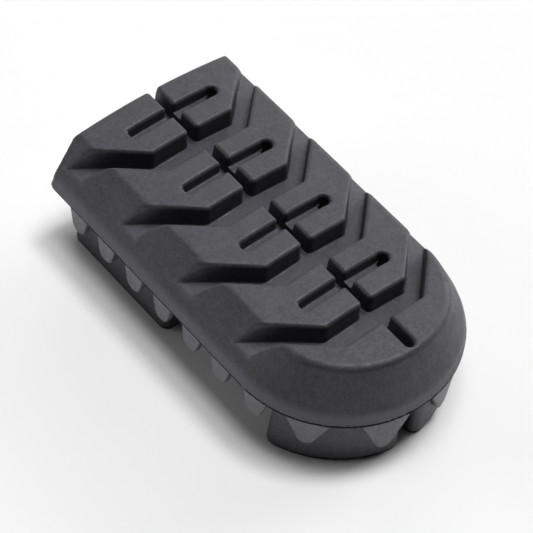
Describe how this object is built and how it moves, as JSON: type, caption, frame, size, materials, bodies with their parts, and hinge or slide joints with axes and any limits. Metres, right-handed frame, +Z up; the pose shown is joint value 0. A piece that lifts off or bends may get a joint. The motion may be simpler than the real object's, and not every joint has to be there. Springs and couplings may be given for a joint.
{
  "type": "snowboard stomp pad",
  "caption": "Thick rubber grip pad with a rounded nose, a chevron-grooved crowned top, a toothed plastic frame and solid rubber feet on adhesive pads.",
  "frame": {"origin": "on the floor, under the middle of the bounding box", "axes": "+X from the flat end to the round nose, +Y to the left side seen from the flat end, +Z up out of the tread"},
  "size_m": [0.121, 0.072, 0.038],
  "materials": {
    "tread_rubber": "matt moulded black",
    "bond_film": "matt black",
    "frame_plastic": "matt dark grey",
    "foot_rubber": "matt moulded black",
    "adhesive_foam": "matt dark foam"
  },
  "bodies": {
    "root": {"tread_pad": "tread_rubber", "bond_film": "bond_film", "base_frame": "frame_plastic", "foot_rear_left": "foot_rubber", "foot_rear_right": "foot_rubber", "foot_nose_left": "foot_rubber", "foot_nose_right": "foot_rubber", "adhesive_rear_left": "adhesive_foam", "adhesive_rear_right": "adhesive_foam", "adhesive_nose_left": "adhesive_foam", "adhesive_nose_right": "adhesive_foam"}
  },
  "joints": []
}
